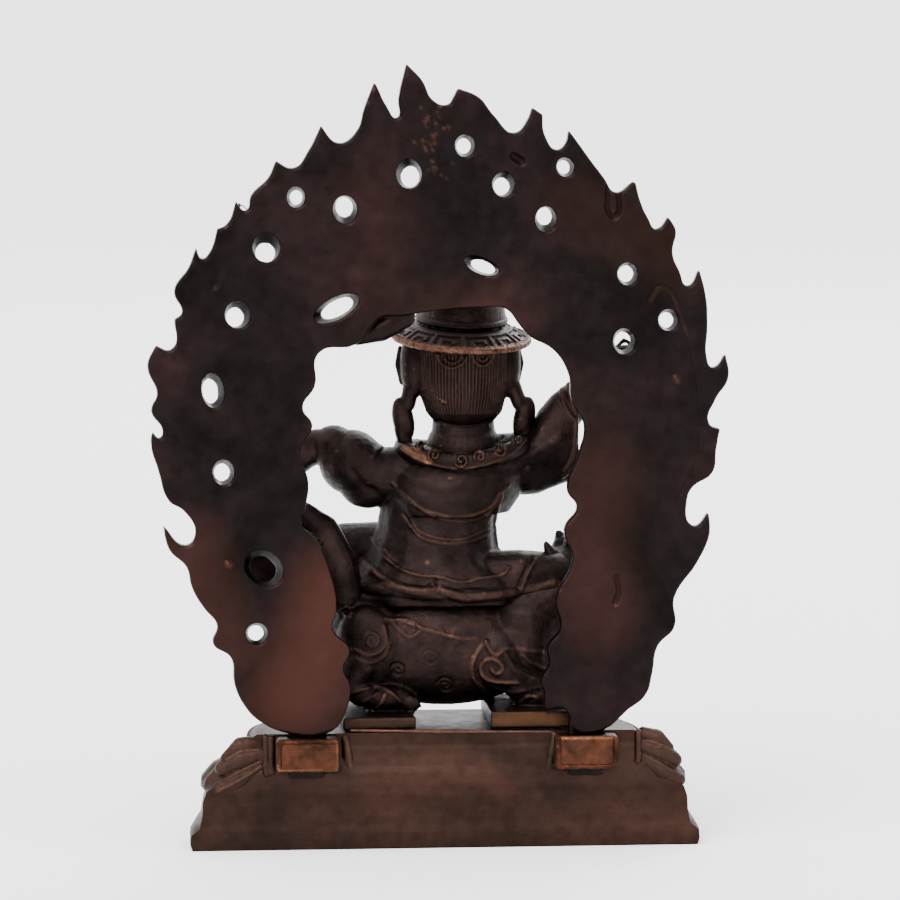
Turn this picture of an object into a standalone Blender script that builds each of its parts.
# Seated protector figure on a lion, on a lotus base, with a pierced flame aureole.
# Small cast-copper statue in three pieces: the base, the rider and lion cast as one,
# and the aureole, whose two tenons drop into strap loops on the back of the base.
# Units are metres, +Z is up, the figure faces -Y, and the origin is the middle of the underside.

import math

import bmesh
import bpy
from mathutils import Matrix, Vector

MM = 0.001

# Driving sizes of the base
BASE_HEIGHT = 0.0224
BASE_DEPTH = 0.0400
TOP_WIDTH = 0.0720
TOP_DEPTH = 0.0272
TOP_SQUARENESS = 3.0
PETAL_COUNT = 9
PETAL_STEPS = 6

# Driving sizes of the aureole and of the straps that hold it
AUREOLE_WIDTH = 0.1100
AUREOLE_HEIGHT = 0.1271
PLATE_THICKNESS = 0.0028
HOLE_SIDES = 8
RELIEF_HEIGHT = 0.0022
OUTER_TONGUE = 0.0050
INNER_TONGUE = 0.0058
INNER_TONGUES = 14
LEG_TONGUES = 3
TONGUE_STEPS = 4
TENON_WIDTH = 0.0067
TENON_THICKNESS = 0.0022
TENON_DROP = 0.0083
STRAP_SPACING = 0.0532
STRAP_WIDTH = 0.0120
STRAP_HEIGHT = 0.0064
STRAP_WALL = 0.0014
FIT_GAP = 0.0004

# Driving sizes of the rider and lion
GROUP_HEIGHT = 0.0950
GROUP_VOXEL = 0.00062
GROUP_TRIANGLES = 3900
REST_GAP = 0.0003

BACK_FACE = BASE_DEPTH / 2
PLATE_FRONT = BACK_FACE + FIT_GAP
PLATE_BACK = PLATE_FRONT + PLATE_THICKNESS
STRAP_TOP = BASE_HEIGHT - 0.0004


def clear_scene():
    for old in list(bpy.data.objects):
        bpy.data.objects.remove(old, do_unlink=True)


def new_collection(name):
    group = bpy.data.collections.new(name)
    bpy.context.scene.collection.children.link(group)
    return group


def copper(name, colour, roughness):
    material = bpy.data.materials.new(name)
    material.use_nodes = True
    shader = material.node_tree.nodes["Principled BSDF"]
    shader.inputs["Base Color"].default_value = (*colour, 1.0)
    shader.inputs["Metallic"].default_value = 1.0
    shader.inputs["Roughness"].default_value = roughness
    return material


def mesh_object(name, bm, material, collection):
    mesh = bpy.data.meshes.new(name)
    bm.to_mesh(mesh)
    bm.free()
    made = bpy.data.objects.new(name, mesh)
    if material:
        made.data.materials.append(material)
    collection.objects.link(made)
    return made


def evaluated_mesh(source):
    depsgraph = bpy.context.evaluated_depsgraph_get()
    return bpy.data.meshes.new_from_object(source.evaluated_get(depsgraph), depsgraph=depsgraph)


def as_cutter(cutter):
    cutter.hide_render = True
    cutter.display_type = "WIRE"


def add_boolean(target, tool, operation):
    step = target.modifiers.new(operation.title() + " " + tool.name, "BOOLEAN")
    step.operation = operation
    step.solver = "EXACT"
    step.object = tool


def smooth_by_angle(made, degrees=40):
    made.data.shade_smooth()
    made.data.set_sharp_from_angle(angle=math.radians(degrees))


# The lotus base

def plan_point(angle):
    """Point on the edge of the platform's top: half a squared ellipse, open at the back."""
    power = 2 / TOP_SQUARENESS
    across = math.copysign(abs(math.cos(angle)) ** power, math.cos(angle))
    ahead = abs(math.sin(angle)) ** power
    return Vector((across * TOP_WIDTH / 2, BACK_FACE - ahead * TOP_DEPTH))


def plan_table(samples=720):
    """The plan curve and how far along it each sample lies."""
    points = [plan_point(math.pi * i / samples) for i in range(samples + 1)]
    lengths = [0.0]
    for before, after in zip(points, points[1:]):
        lengths.append(lengths[-1] + (after - before).length)
    return points, lengths


def plan_at(share, table):
    """Point and outward direction at a share of the plan curve's length."""
    points, lengths = table
    target = share * lengths[-1]
    index = 1
    while index < len(lengths) - 1 and lengths[index] < target:
        index += 1
    span = lengths[index] - lengths[index - 1]
    blend = (target - lengths[index - 1]) / span
    point = points[index - 1].lerp(points[index], blend)
    low = max(index - 4, 0)
    high = min(index + 3, len(points) - 1)
    along = points[high] - points[low]
    outward = Vector((along.y, -along.x)).normalized()
    if outward.dot(point - Vector((0.0, BACK_FACE - TOP_DEPTH / 2))) < 0:
        outward.negate()
    if share in (0.0, 1.0):
        point = Vector((math.copysign(TOP_WIDTH / 2, point.x), BACK_FACE))
        outward = Vector((math.copysign(1.0, point.x), 0.0))
    return point, outward


# Each row of the base: height and reach beyond the top's edge, in the valley between
# two petals and at a petal's middle, as shares of the base's height and of its flare.
FLARE = BASE_DEPTH - TOP_DEPTH
BASE_ROWS = (
    (0.000, 0.97, 0.000, 0.97),
    (0.055, 1.00, 0.055, 1.00),
    (0.130, 0.99, 0.150, 1.00),
    (0.190, 0.86, 0.220, 0.93),
    (0.300, 0.82, 0.300, 0.84),
    (0.420, 0.81, 0.440, 0.80),
    (0.510, 0.76, 0.470, 0.76),
    (0.555, 0.62, 0.520, 0.83),
    (0.620, 0.42, 0.600, 0.82),
    (0.690, 0.22, 0.720, 0.64),
    (0.780, 0.04, 0.820, 0.30),
    (0.880, 0.02, 0.885, 0.08),
    (0.915, 0.10, 0.915, 0.11),
    (0.965, 0.10, 0.965, 0.10),
    (1.000, 0.00, 1.000, 0.00),
)


def build_base(material, collection, cutters):
    columns = PETAL_COUNT * PETAL_STEPS
    table = plan_table()
    bm = bmesh.new()
    rows = []
    for valley_up, valley_out, petal_up, petal_out in BASE_ROWS:
        row = []
        for column in range(columns + 1):
            share = column / columns
            point, outward = plan_at(share, table)
            petal = abs(math.sin(math.pi * column / PETAL_STEPS)) ** 0.7
            up = valley_up + (petal_up - valley_up) * petal
            out = valley_out + (petal_out - valley_out) * petal
            spot = point + outward * out * FLARE
            row.append(bm.verts.new((spot.x, spot.y, up * BASE_HEIGHT)))
        rows.append(row)
    for lower, upper in zip(rows, rows[1:]):
        for i in range(columns):
            bm.faces.new((lower[i + 1], lower[i], upper[i], upper[i + 1]))
    bm.faces.new(rows[0])
    bm.faces.new(rows[-1])
    bm.faces.new([row[0] for row in rows] + [row[-1] for row in reversed(rows)])
    bmesh.ops.recalc_face_normals(bm, faces=bm.faces)
    bmesh.ops.triangulate(bm, faces=bm.faces)
    base = mesh_object("lotus_base", bm, material, collection)
    smooth_by_angle(base)
    reach = FIT_GAP + TENON_THICKNESS + FIT_GAP + STRAP_WALL
    for side in (-1, 1):
        middle = Vector((side * STRAP_SPACING / 2, 0.0, STRAP_TOP - STRAP_HEIGHT / 2))
        strap_size = (STRAP_WIDTH, reach + STRAP_WALL, STRAP_HEIGHT)
        strap_place = middle + Vector((0.0, BACK_FACE + (reach - STRAP_WALL) / 2, 0.0))
        strap = box_object("strap", strap_size, strap_place, cutters)
        bevel_edges(strap, 0.0009)
        add_boolean(base, strap, "UNION")
        slot_depth = TENON_THICKNESS + 2 * FIT_GAP - 0.0001
        slot_size = (TENON_WIDTH + 2 * FIT_GAP, slot_depth, STRAP_HEIGHT * 2)
        slot_place = middle + Vector((0.0, BACK_FACE + 0.0001 + slot_depth / 2, 0.0))
        slot = box_object("slot", slot_size, slot_place, cutters)
        add_boolean(base, slot, "DIFFERENCE")
    return base


def box_object(name, size, centre, collection):
    bm = bmesh.new()
    bmesh.ops.create_cube(bm, size=1.0)
    bmesh.ops.scale(bm, vec=size, verts=bm.verts)
    bmesh.ops.translate(bm, vec=centre, verts=bm.verts)
    mesh = bpy.data.meshes.new(name)
    bm.to_mesh(mesh)
    bm.free()
    made = bpy.data.objects.new(name, mesh)
    collection.objects.link(made)
    as_cutter(made)
    return made


def bevel_edges(made, width):
    step = made.modifiers.new("Rounded edges", "BEVEL")
    step.width = width
    step.segments = 1
    step.limit_method = "ANGLE"


# The flame aureole: its outline in millimetres at the sizes above, seen from behind,
# as (to the right, up from the floor), with a third value of 1 at each sharp flame tip.
OUTLINE_WIDTH = 109.9
OUTLINE_FLOOR = 22.4
OUTLINE_TOP = 149.5
OUTER_EDGE = (
    (-30.0, 22.9), (-36.0, 25.6), (-38.7, 28.6), (-40.4, 32.6), (-41.0, 37.5), (-44.5, 40.3),
    (-43.6, 43.8), (-45.9, 46.8), (-48.4, 51.0), (-49.4, 55.0), (-52.4, 58.0), (-53.7, 62.8, 1),
    (-49.3, 59.0), (-47.6, 61.2), (-49.8, 65.7), (-52.6, 67.5), (-54.5, 73.0), (-56.0, 78.6),
    (-55.6, 80.9, 1), (-54.3, 79.5), (-53.7, 80.8), (-55.8, 84.6), (-54.6, 87.8), (-56.4, 93.0),
    (-54.9, 97.0, 1), (-51.9, 96.2), (-51.4, 101.9, 1), (-49.9, 103.0), (-51.4, 107.0),
    (-48.5, 111.7), (-47.2, 115.4, 1), (-46.1, 113.1), (-44.7, 114.2), (-43.2, 118.8, 1),
    (-41.5, 119.6), (-39.7, 124.2, 1), (-37.9, 122.2), (-36.9, 125.0), (-33.5, 128.5),
    (-32.2, 131.6, 1), (-28.8, 130.2), (-26.2, 133.2), (-23.7, 138.3, 1), (-20.3, 134.9),
    (-17.0, 137.2), (-15.7, 141.0), (-13.6, 146.3, 1), (-11.2, 141.4), (-9.4, 139.4),
    (-9.1, 143.0), (-7.6, 149.5, 1), (-4.6, 146.4), (-2.8, 143.0), (0.2, 142.0), (1.1, 143.2),
    (2.1, 145.0, 1), (6.0, 143.4), (9.0, 139.8), (12.7, 136.6), (15.2, 139.2), (16.0, 141.6, 1),
    (18.1, 140.1, 1), (18.6, 136.0), (20.8, 133.4), (22.4, 134.6), (22.9, 137.1, 1), (25.5, 133.6),
    (29.7, 128.0), (31.8, 125.3), (35.5, 127.6, 1), (36.6, 123.5), (38.2, 120.2), (39.5, 118.4),
    (41.9, 120.8, 1), (43.5, 118.0), (42.8, 114.0), (44.2, 110.0), (45.5, 107.5), (47.8, 110.8, 1),
    (49.2, 105.0), (49.4, 99.0), (49.3, 94.0), (50.4, 92.0), (52.9, 94.6, 1), (53.5, 90.0),
    (51.1, 86.0), (49.9, 81.3), (52.0, 80.4, 1), (51.3, 76.5), (50.6, 71.9), (46.9, 69.3),
    (45.7, 67.0), (46.9, 61.8), (49.9, 64.6, 1), (50.0, 60.0), (47.8, 55.0), (43.4, 48.0),
    (43.5, 42.6), (40.2, 38.9), (39.3, 34.0), (38.0, 29.4), (34.6, 26.6), (30.1, 22.9),
)
INNER_EDGE = (
    (24.5, 22.9), (23.6, 25.3), (21.9, 27.2), (18.7, 27.1), (18.6, 30.2), (17.8, 32.3),
    (19.5, 36.0), (19.0, 38.8), (21.6, 42.6), (20.7, 48.0), (23.9, 55.9), (22.3, 61.5),
    (24.8, 65.6), (22.8, 68.8), (25.1, 76.0), (26.1, 81.0), (23.5, 86.3), (23.0, 91.0),
    (19.8, 95.8), (15.9, 97.9), (13.6, 100.4), (11.2, 103.4), (6.2, 103.8), (-0.5, 103.4),
    (-9.0, 102.3), (-12.4, 102.2), (-14.6, 100.4), (-17.1, 97.0), (-24.3, 95.3), (-25.0, 89.0),
    (-27.3, 85.0), (-25.5, 81.6), (-27.9, 77.0), (-26.2, 71.0), (-26.8, 66.0), (-27.6, 62.8),
    (-24.9, 60.0), (-22.5, 54.6), (-21.0, 46.7), (-21.8, 42.9), (-18.4, 38.7), (-19.7, 35.3),
    (-18.3, 32.0), (-18.9, 28.0), (-20.6, 24.4), (-23.0, 22.9),
)
# Pierced holes: right, up, width, height and lean in degrees
HOLES = (
    (3.2, 134.0, 2.7, 2.9, 0), (-6.8, 128.3, 3.3, 3.8, 0), (-28.3, 124.5, 2.4, 2.8, 0),
    (-19.3, 122.8, 3.1, 3.7, 10), (-34.2, 114.0, 3.5, 3.8, 0), (-40.0, 102.0, 3.3, 3.6, 0),
    (-20.6, 103.6, 6.6, 2.9, 27), (7.0, 111.3, 4.8, 2.0, -22), (10.4, 126.4, 2.9, 3.3, 0),
    (18.5, 120.9, 2.7, 3.3, 0), (22.1, 130.0, 2.3, 2.6, 14), (34.0, 109.8, 2.6, 2.9, 0),
    (41.7, 101.0, 2.6, 2.8, 0), (33.4, 97.0, 2.9, 3.4, 0), (-44.7, 88.1, 2.9, 4.6, 8),
    (-42.5, 72.7, 2.9, 3.4, 0), (-35.0, 54.2, 5.4, 4.4, -40), (-36.3, 42.0, 2.8, 2.8, 0),
)


def outline_spot(right, up):
    across = AUREOLE_WIDTH / OUTLINE_WIDTH
    rise = AUREOLE_HEIGHT / (OUTLINE_TOP - OUTLINE_FLOOR)
    return Vector((-right * across, BASE_HEIGHT + (up - OUTLINE_FLOOR) * rise))


def add_outline(curve, spots, sharp):
    spline = curve.splines.new("BEZIER")
    spline.bezier_points.add(len(spots) - 1)
    spline.use_cyclic_u = True
    for point, spot, is_sharp in zip(spline.bezier_points, spots, sharp):
        point.co = (spot.x, spot.y, 0.0)
        kind = "VECTOR" if is_sharp else "AUTO"
        point.handle_left_type = kind
        point.handle_right_type = kind


def flame_tips():
    return [spot[:2] for spot in OUTER_EDGE if len(spot) == 3]


def hole_cutters(collection):
    """One oval rod for each pierced hole, running past both faces of the aureole."""
    bm = bmesh.new()
    for right, up, wide, high, lean in HOLES:
        centre = outline_spot(right, up)
        shape = Matrix.Translation((centre.x, PLATE_FRONT, centre.y))
        shape = shape @ Matrix.Rotation(math.radians(lean), 4, "Y")
        shape = shape @ Matrix.Diagonal((wide * MM, 1.0, high * MM, 1.0))
        shape = shape @ Matrix.Rotation(math.radians(90), 4, "X")
        bmesh.ops.create_cone(bm, cap_ends=True, segments=HOLE_SIDES, radius1=0.5, radius2=0.5,
                              depth=4 * PLATE_THICKNESS, matrix=shape)
    return mesh_object("pierced_holes", bm, None, collection)


def tongue_mesh(bm, root, tip, bow, width, buried):
    """One raised lick of flame on the front: a tapering ridge along a bowed line."""
    chord = tip - root
    side = Vector((-chord.y, chord.x)).normalized()
    rings = []
    for i in range(TONGUE_STEPS + 1):
        t = i / TONGUE_STEPS
        spine = root.lerp(tip, t) + side * bow * math.sin(math.pi * t)
        slope = chord + side * bow * math.pi * math.cos(math.pi * t)
        across = Vector((-slope.y, slope.x)).normalized()
        half = width / 2 * (math.sin(math.pi * min(t + 0.28, 1.0)) ** 0.8) + 0.00018
        crest = RELIEF_HEIGHT * (0.35 + 0.65 * math.sin(math.pi * min(t + 0.2, 1.0)))
        left = spine - across * half
        right = spine + across * half
        rings.append((
            bm.verts.new((left.x, buried, left.y)),
            bm.verts.new((spine.x, PLATE_FRONT - crest, spine.y)),
            bm.verts.new((right.x, buried, right.y)),
        ))
    for before, after in zip(rings, rings[1:]):
        for i in range(3):
            j = (i + 1) % 3
            bm.faces.new((before[i], before[j], after[j], after[i]))
    bm.faces.new(rings[0])
    bm.faces.new(rings[-1])


def build_aureole(material, collection, cutters):
    curve = bpy.data.curves.new("flame_outline", "CURVE")
    curve.dimensions = "2D"
    curve.fill_mode = "BOTH"
    curve.extrude = PLATE_THICKNESS / 2
    curve.resolution_u = 2
    edge = OUTER_EDGE + INNER_EDGE
    add_outline(curve, [outline_spot(*spot[:2]) for spot in edge], [len(spot) == 3 for spot in edge])
    outline = bpy.data.objects.new("flame_outline", curve)
    cutters.objects.link(outline)
    bm = bmesh.new()
    bm.from_mesh(evaluated_mesh(outline))
    bpy.data.objects.remove(outline, do_unlink=True)
    bmesh.ops.remove_doubles(bm, verts=bm.verts, dist=0.00001)
    bmesh.ops.rotate(bm, verts=bm.verts, matrix=Matrix.Rotation(math.radians(90), 3, "X"))
    bmesh.ops.translate(bm, verts=bm.verts, vec=(0.0, (PLATE_FRONT + PLATE_BACK) / 2, 0.0))
    bmesh.ops.recalc_face_normals(bm, faces=bm.faces)
    bmesh.ops.triangulate(bm, faces=bm.faces)
    plate = mesh_object("flame_aureole", bm, material, collection)

    hub = outline_spot(0.0, 78.0)
    relief = bmesh.new()
    for number, (right, up) in enumerate(flame_tips()):
        tip = outline_spot(right, up)
        buried = PLATE_FRONT + PLATE_THICKNESS * (0.30 + 0.012 * number)
        reach = tip - hub
        side = math.copysign(1.0, reach.x)
        root = hub + Matrix.Rotation(side * math.radians(-15), 2) @ (reach * 0.76)
        tongue_mesh(relief, root, tip.lerp(hub, 0.02), side * 0.0018, OUTER_TONGUE, buried)
    for i in range(INNER_TONGUES):
        angle = math.radians(-38 + 256 * i / (INNER_TONGUES - 1))
        side = math.copysign(1.0, math.cos(angle))
        root = hub + Vector((math.cos(angle) * 0.0285, math.sin(angle) * 0.0290))
        lean = angle + side * math.radians(17)
        tip = hub + Vector((math.cos(lean) * 0.0400, math.sin(lean) * 0.0450))
        tongue_mesh(relief, root, tip, side * 0.0020, INNER_TONGUE,
                    PLATE_FRONT + PLATE_THICKNESS * (0.294 + 0.024 * i))
    for side in (-1, 1):
        for i in range(LEG_TONGUES):
            root = outline_spot(side * 24.0, 30.5 + 10.0 * i)
            tip = outline_spot(side * (34.5 + 2.6 * i), 43.0 + 11.0 * i)
            tongue_mesh(relief, root, tip, side * 0.0018, INNER_TONGUE,
                        PLATE_FRONT + PLATE_THICKNESS * (0.32 + 0.05 * i))
    bmesh.ops.recalc_face_normals(relief, faces=relief.faces)
    tongues = mesh_object("flame_tongues", relief, material, cutters)
    as_cutter(tongues)
    add_boolean(plate, tongues, "UNION")
    plate.modifiers[-1].use_self = True
    holes = hole_cutters(cutters)
    as_cutter(holes)
    add_boolean(plate, holes, "DIFFERENCE")

    tenon_length = TENON_DROP + 0.0060
    for side in (-1, 1):
        size = (TENON_WIDTH, TENON_THICKNESS, tenon_length)
        middle = Vector((
            side * STRAP_SPACING / 2,
            PLATE_FRONT + TENON_THICKNESS / 2,
            BASE_HEIGHT - TENON_DROP + tenon_length / 2,
        ))
        tenon = box_object("tenon", size, middle, cutters)
        tenon.location.y += 0.00005
        add_boolean(plate, tenon, "UNION")
    smooth_by_angle(plate)
    return plate


# The rider and the lion, in millimetres at the sizes above: (right seen from behind,
# depth towards the viewer behind, up from the floor)
GROUP_FLOOR = 22.7
GROUP_TOP = 117.7


def group_scale():
    return GROUP_HEIGHT / (GROUP_TOP - GROUP_FLOOR)


def spot(right, depth, up):
    return Vector((-right, depth, up - GROUP_FLOOR)) * group_scale()


def ball(bm, centre, radii, turn=(0, 0, 0), sides=20):
    k = group_scale()
    rotation = Matrix.Rotation(math.radians(turn[2]), 4, "Z")
    rotation = rotation @ Matrix.Rotation(math.radians(turn[1]), 4, "Y")
    rotation = rotation @ Matrix.Rotation(math.radians(turn[0]), 4, "X")
    shape = Matrix.Translation(spot(*centre)) @ rotation
    shape = shape @ Matrix.Diagonal((radii[0] * k, radii[1] * k, radii[2] * k, 1.0))
    bmesh.ops.create_uvsphere(bm, u_segments=sides, v_segments=sides // 2, radius=1.0, matrix=shape)


def limb(bm, path, sides=14):
    """A tapering limb through (right, depth, up, radius) points: cones between round joints."""
    k = group_scale()
    for right, depth, up, radius in path:
        ball(bm, (right, depth, up), (radius,) * 3, sides=sides)
    for before, after in zip(path, path[1:]):
        start = spot(*before[:3])
        end = spot(*after[:3])
        along = end - start
        turn = along.to_track_quat("Z", "Y").to_matrix().to_4x4()
        place = Matrix.Translation((start + end) / 2) @ turn
        bmesh.ops.create_cone(bm, cap_ends=True, segments=sides, radius1=before[3] * k,
                              radius2=after[3] * k, depth=along.length, matrix=place)


def block(bm, centre, size, turn=0.0):
    k = group_scale()
    shape = Matrix.Translation(spot(*centre)) @ Matrix.Rotation(math.radians(turn), 4, "Z")
    shape = shape @ Matrix.Diagonal((size[0] * k, size[1] * k, size[2] * k, 1.0))
    bmesh.ops.create_cube(bm, size=1.0, matrix=shape)


def ring_path(centre, wide, deep, back_drop, right_lift, radius, count=20, share=(0.0, 1.0),
              side_lift=0.0):
    """Closed round cord about a point; its back drops, and its right side or both sides lift."""
    path = []
    for i in range(count + 1):
        angle = math.tau * (share[0] + (share[1] - share[0]) * i / count)
        right = math.cos(angle)
        depth = math.sin(angle)
        up = centre[2] - back_drop * depth + right_lift * right + side_lift * right * right
        path.append((centre[0] + wide * right, centre[1] + deep * depth, up, radius))
    return path


def loft(bm, rows):
    """Closed skin over rings of equal count, capped at both ends."""
    rings = [[bm.verts.new(point) for point in row] for row in rows]
    count = len(rings[0])
    for lower, upper in zip(rings, rings[1:]):
        for i in range(count):
            j = (i + 1) % count
            bm.faces.new((lower[i], lower[j], upper[j], upper[i]))
    bm.faces.new(rings[0])
    bm.faces.new(rings[-1])


def robe_rows(levels, folds, depth_of_fold, sides=48):
    """Rings of a robe: each level is (right, depth, up, half width, half depth, fold share)."""
    rows = []
    for right, depth, up, wide, deep, share in levels:
        row = []
        for i in range(sides):
            angle = math.tau * i / sides
            swell = 1 + depth_of_fold * share * math.sin(folds * angle)
            row.append(spot(right + wide * swell * math.cos(angle),
                            depth + deep * swell * math.sin(angle), up))
        rows.append(row)
    return rows


def add_lion(bm):
    depth = 5.0
    ball(bm, (1, depth, 36.8), (20, 8.6, 11.4))
    ball(bm, (-13.6, depth, 37.6), (8.8, 8.8, 10.4))
    ball(bm, (16, depth, 38.0), (8.6, 8.6, 10.8))
    for depth in (-0.6, 10.4):
        ball(bm, (-14.6, depth, 38.8), (5.8, 3.9, 6.8))
        limb(bm, [(-15.5, depth, 35, 4.2), (-18.0, depth, 31, 3.1), (-15.5, depth, 28.6, 2.7)])
        ball(bm, (-10.6, depth, 27.5), (5.4, 3.1, 2.7))
        ball(bm, (10.9, depth, 35.2), (5.6, 3.9, 6.4))
        limb(bm, [(12.5, depth, 33, 4.0), (15.5, depth, 29.5, 3.2), (18.5, depth, 28.2, 2.7)])
        ball(bm, (19.0, depth, 27.5), (5.2, 3.1, 2.7))
        for toe in (-1, 0, 1):
            ball(bm, (-6.0, depth + 2.0 * toe, 26.7), (1.7, 1.1, 1.6), sides=12)
            ball(bm, (23.4, depth + 2.0 * toe, 26.7), (1.7, 1.1, 1.6), sides=12)
        for lock in range(4):
            limb(bm, [(10.5, depth * 1.1 - 0.4, 38.5 - 2.6 * lock, 1.9),
                      (16.5, depth * 1.1 - 0.4, 39.5 - 2.4 * lock, 1.5),
                      (20.5, depth * 1.05, 38.4 - 2.2 * lock, 0.6)], sides=10)
    block(bm, (-12.6, 7.2, 23.9), (14.0, 22.8, 2.4))
    block(bm, (17.4, 7.2, 24.3), (17.4, 22.8, 3.2))
    # Neck, head turned to the front, and mane
    limb(bm, [(17, 5, 42, 8.6), (25, 2.5, 47, 8.6), (31, 0, 49.5, 8.4)])
    ball(bm, (32.0, -3.5, 49.5), (8.0, 7.4, 8.4))
    ball(bm, (32.6, -9.6, 46.4), (4.9, 4.4, 3.6))
    ball(bm, (32.6, -8.6, 43.6), (3.8, 3.8, 2.2))
    ball(bm, (32.6, -13.6, 48.2), (1.8, 1.3, 1.2), sides=12)
    for side in (-1, 1):
        ball(bm, (32.4 + 3.4 * side, -9.7, 51.6), (1.7, 1.3, 1.5), sides=12)
        limb(bm, [(32.4 + 1.4 * side, -10.2, 53.0, 1.0), (32.4 + 5.4 * side, -8.8, 54.6, 0.9)], sides=10)
        limb(bm, [(32.0 + 6.6 * side, -1.5, 55.0, 2.2), (32.0 + 8.6 * side, -0.6, 59.2, 0.7)], sides=10)
    for curl in range(14):
        angle = math.tau * (curl + 0.5) / 14
        ball(bm, (32.0 + 8.9 * math.cos(angle), -1.0, 49.0 + 8.9 * math.sin(angle)),
             (2.6, 3.0, 2.6), sides=12)
    for curl in range(9):
        angle = math.tau * (curl + 0.5) / 9
        ball(bm, (29.0 + 5.4 * math.cos(angle), 6.6, 48.2 + 5.8 * math.sin(angle)),
             (2.5, 2.4, 2.5), sides=12)
    limb(bm, [(22.0, 5.0, 51.5, 2.4), (21.6, 6.0, 54.2, 1.6), (20.4, 6.4, 56.6, 0.6)], sides=10)
    # Tail: a broad band off the rump that fans out into five licks
    limb(bm, [(-19.0, 7.0, 47.5, 4.2), (-20.4, 8.6, 53.0, 4.4), (-23.6, 9.0, 59.0, 4.4),
              (-26.5, 8.6, 62.0, 3.4)])
    for tip_right, tip_up, bend in ((-29.5, 67.0, 2.0), (-36.5, 65.0, 3.0), (-42.0, 58.5, 3.0),
                                    (-45.3, 49.0, 2.6), (-43.0, 39.5, 2.0)):
        middle_right = (-24.0 + tip_right) / 2 - bend * 0.3
        middle_up = (53.0 + tip_up) / 2 + bend
        limb(bm, [(-24.0, 8.4, 53.0, 4.2), (middle_right, 8.2, middle_up, 3.7),
                  (tip_right, 7.8, tip_up, 0.8)], sides=10)


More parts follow.
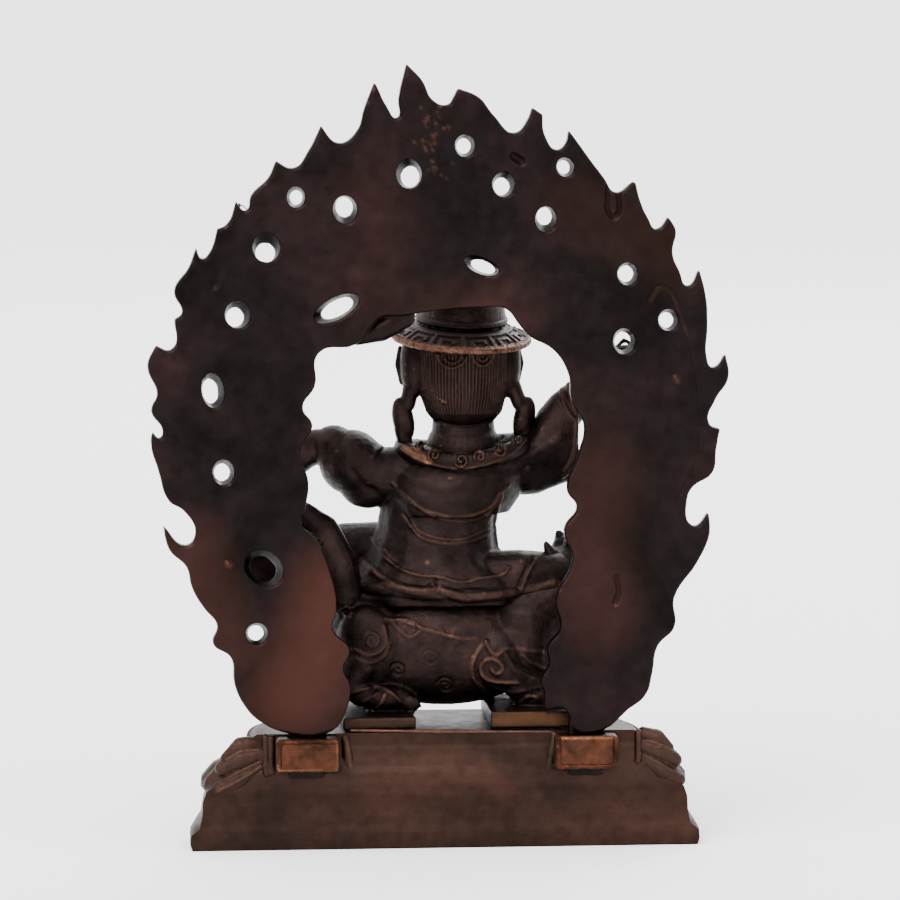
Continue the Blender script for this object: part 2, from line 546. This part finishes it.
def add_rider(bm):
    # Robe over the seat, the lap and the legs in front
    levels = (
        (1.2, 1.2, 45.4, 20.6, 11.8, 1.0), (1.2, 1.2, 46.8, 21.4, 12.4, 1.0),
        (1.0, 1.0, 50.0, 19.8, 12.2, 0.9), (0.0, 0.8, 53.2, 14.0, 11.4, 0.6),
        (-0.8, 0.8, 55.4, 11.2, 10.2, 0.4), (-0.6, 0.8, 60.0, 10.3, 9.0, 0.3),
        (0.4, 1.0, 64.0, 11.0, 8.6, 0.2), (2.2, 1.0, 69.0, 12.4, 8.6, 0.1),
        (3.8, 0.6, 73.2, 9.6, 7.2, 0.0), (4.6, 0.4, 76.0, 5.8, 5.6, 0.0),
    )
    loft(bm, robe_rows(levels, 13, 0.035))
    limb(bm, ring_path((0.8, 1.2, 50.2), 20.2, 12.2, 2.3, -0.6, 1.2, count=28))
    for side, hip, knee, foot in (
            (1, (6.0, -1.0, 49.6, 5.3), (21.5, -7.0, 47.6, 4.9), (13.5, -11.0, 29.5)),
            (-1, (-6.0, -1.0, 54.2, 6.3), (-17.4, -6.0, 54.2, 5.3), (-9.0, -11.5, 32.5))):
        limb(bm, [hip, knee, (foot[0] + 2.5 * side, -9.6, 40.0, 4.3),
                  (foot[0], foot[1], foot[2] + 3.0, 3.0)])
        ball(bm, (foot[0] - 0.4 * side, foot[1] - 2.6, foot[2] + 0.4), (2.7, 5.0, 2.5))
        limb(bm, ring_path((foot[0], foot[1], foot[2] + 5.2), 3.6, 3.6, 0.0, 0.0, 0.8, count=12), sides=8)
    ball(bm, (0.6, -6.6, 49.5), (11.0, 5.4, 5.0))
    limb(bm, [(-2.6, -8.6, 57.0, 1.6), (-3.4, -12.0, 47.0, 1.9), (-2.6, -12.4, 39.0, 0.9)], sides=10)
    limb(bm, [(2.8, -8.6, 57.0, 1.6), (3.6, -12.0, 47.0, 1.9), (4.6, -12.4, 38.0, 0.9)], sides=10)
    # Belt, cape with its hem and the collar
    limb(bm, ring_path((-0.4, 0.9, 57.0), 10.8, 9.4, 0.8, 0.0, 1.0, count=24), sides=10)
    cape = (
        (2.0, 2.0, 62.6, 11.4, 9.4, 0.6), (2.6, 1.9, 65.5, 12.8, 10.0, 0.5),
        (3.6, 1.6, 70.0, 13.6, 9.6, 0.3), (4.7, 1.0, 73.0, 11.6, 8.6, 0.1),
        (5.0, 0.6, 74.8, 8.0, 7.0, 0.0),
    )
    loft(bm, robe_rows(cape, 9, 0.03))
    limb(bm, ring_path((2.6, 1.8, 66.2), 12.2, 10.4, 3.6, 0.6, 0.8, count=24, share=(0.04, 0.46)), sides=8)
    limb(bm, ring_path((0.2, 1.4, 61.6), 10.8, 9.3, 3.2, 0.3, 0.8, count=24, share=(0.02, 0.48)), sides=8)
    limb(bm, ring_path((4.9, 0.8, 73.4), 11.8, 9.2, 0.2, 0.6, 1.8, count=24, side_lift=1.8))
    ball(bm, (3.4, -8.6, 68.0), (3.6, 1.6, 3.6), sides=16)
    limb(bm, ring_path((3.4, -9.4, 68.0), 3.4, 0.2, 0.0, 0.0, 0.6, count=2), sides=8)
    # Neck, head, hair and face
    limb(bm, [(4.9, 0.2, 74.0, 6.0), (4.9, -0.2, 83.0, 5.6)])
    ball(bm, (4.2, -0.8, 89.6), (8.0, 8.8, 10.0), sides=28)
    hair = (
        (4.9, 0.6, 79.2, 5.0, 5.0, 0.3), (4.9, 0.8, 80.4, 6.0, 6.2, 0.7), (4.9, 1.0, 82.0, 7.2, 7.2, 1.0),
        (4.8, 1.2, 84.6, 8.0, 7.8, 1.0), (4.7, 1.3, 88.0, 8.6, 8.1, 1.0), (4.6, 1.3, 96.0, 8.8, 8.2, 1.0),
    )
    loft(bm, robe_rows(hair, 22, 0.025, sides=88))
    ball(bm, (4.2, -5.6, 84.2), (4.4, 3.6, 3.4), sides=16)
    ball(bm, (4.2, -10.0, 88.4), (1.3, 1.3, 1.5), sides=12)
    limb(bm, [(4.2, -9.3, 91.6, 0.8), (4.2, -10.1, 88.8, 1.1)], sides=10)
    limb(bm, [(2.5, -9.0, 85.3, 0.7), (4.2, -9.5, 85.2, 0.9), (5.9, -9.0, 85.3, 0.7)], sides=8)
    for side in (-1, 1):
        ball(bm, (4.2 + 3.4 * side, -7.7, 91.0), (1.9, 1.4, 1.0), sides=12)
        limb(bm, [(4.2 + 1.4 * side, -9.0, 93.0, 0.7), (4.2 + 5.6 * side, -7.2, 93.2, 0.7)], sides=8)
        ball(bm, (4.2 + 9.9 * side, 0.6, 90.6), (1.9, 2.6, 5.6), sides=16)
        ball(bm, (4.9 + 11.7 * side, 1.2, 80.4), (2.1, 1.8, 4.4), (0, -12 * side, 0), sides=16)
        limb(bm, [(4.5 + 9.6 * side, 0.8, 87.6, 1.6), (4.9 + 10.8 * side, 1.2, 83.4, 1.5)], sides=10)
        limb(bm, [(4.9 + 12.0 * side, 1.2, 78.6, 1.5), (4.9 + 11.2 * side, 1.0, 75.4, 1.5)], sides=10)
    # Hat: a round brim tipped back, crown, roll and finial
    tilt = Matrix.Rotation(math.radians(-7), 4, "X") @ Matrix.Rotation(math.radians(-2), 4, "Y")
    k = group_scale()
    place = Matrix.Translation(spot(4.4, 0.2, 97.4)) @ tilt
    bmesh.ops.create_cone(bm, cap_ends=True, segments=44, radius1=13.6 * k, radius2=8.6 * k,
                          depth=2.8 * k, matrix=place)
    limb(bm, ring_path((4.4, 0.2, 96.2), 13.0, 13.0, 1.6, -0.5, 0.7, count=36), sides=8)
    ball(bm, (4.6, -0.6, 99.4), (8.8, 8.8, 9.6), (-7, 0, 0), sides=28)
    limb(bm, [(3.8, -3.4, 108.0, 2.6), (3.8, -3.8, 110.6, 1.3), (3.8, -4.2, 113.4, 2.0),
              (3.8, -4.6, 116.9, 0.8)], sides=12)
    # Sleeves and hands
    limb(bm, [(-5, 1, 69.6, 5.6), (-12.0, 1, 69.9, 5.1), (-16.8, 1, 72.2, 6.3), (-20.2, 0.8, 75.0, 4.4),
              (-23.4, 0.4, 75.4, 3.2), (-27.6, 0.0, 74.0, 4.3)])
    ball(bm, (-31.4, -1.0, 75.2), (3.6, 2.4, 2.8), sides=16)
    ball(bm, (-33.2, -2.2, 79.0), (2.7, 2.4, 3.2), sides=16)
    sleeve = []
    for right, up, high, deep in ((8, 71.4, 5.9, 6.6), (14, 71.5, 6.0, 6.0), (17.4, 71.7, 6.2, 5.4),
                                  (19.4, 73.7, 8.0, 5.0), (22, 75.8, 9.0, 4.8), (26.8, 78.5, 9.9, 4.6)):
        row = []
        for i in range(20):
            angle = math.tau * i / 20
            row.append(spot(right, 0.6 + deep * math.cos(angle), up + high * math.sin(angle)))
        sleeve.append(row)
    loft(bm, sleeve)
    limb(bm, [(25.0, -0.6, 81.0, 3.2), (30.2, -1.6, 87.0, 2.7), (31.4, -2.4, 90.4, 3.0)], sides=12)
    limb(bm, [(25.6, -3.4, 91.4, 0.8), (27.4, -3.4, 91.8, 1.9), (29.4, -3.4, 92.2, 1.0),
              (31.6, -3.4, 92.6, 1.6), (33.8, -3.4, 93.0, 1.0), (35.8, -3.4, 93.4, 1.9),
              (37.6, -3.4, 93.8, 0.8)], sides=10)


def build_group(material, collection, cutters):
    bm = bmesh.new()
    add_lion(bm)
    add_rider(bm)
    bmesh.ops.recalc_face_normals(bm, faces=bm.faces)
    shapes = mesh_object("group_shapes", bm, material, cutters)
    as_cutter(shapes)
    skin = shapes.modifiers.new("One cast skin", "REMESH")
    skin.mode = "VOXEL"
    skin.voxel_size = GROUP_VOXEL
    softer = shapes.modifiers.new("Softened joins", "SMOOTH")
    softer.factor = 0.5
    softer.iterations = 2
    mesh = evaluated_mesh(shapes)
    mesh.name = "dorje_legpa_on_lion"
    bm = bmesh.new()
    bm.from_mesh(mesh)
    bmesh.ops.triangulate(bm, faces=bm.faces)
    count = len(bm.faces)
    bm.to_mesh(mesh)
    bm.free()
    group = bpy.data.objects.new("dorje_legpa_on_lion", mesh)
    group.location = (0.0, 0.0, BASE_HEIGHT + REST_GAP)
    collection.objects.link(group)
    thin = group.modifiers.new("Fewer facets", "DECIMATE")
    thin.ratio = min(1.0, GROUP_TRIANGLES / count)
    group.data.shade_smooth()
    return group


def main():
    clear_scene()
    parts = new_collection("dorje legpa statue")
    cutters = new_collection("cutters and guides")
    body_copper = copper("oxidised cast copper", (0.045, 0.026, 0.020), 0.42)
    plate_copper = copper("heat-patinated cast copper", (0.075, 0.036, 0.028), 0.38)
    build_base(plate_copper, parts, cutters)
    build_aureole(plate_copper, parts, cutters)
    build_group(body_copper, parts, cutters)


main()
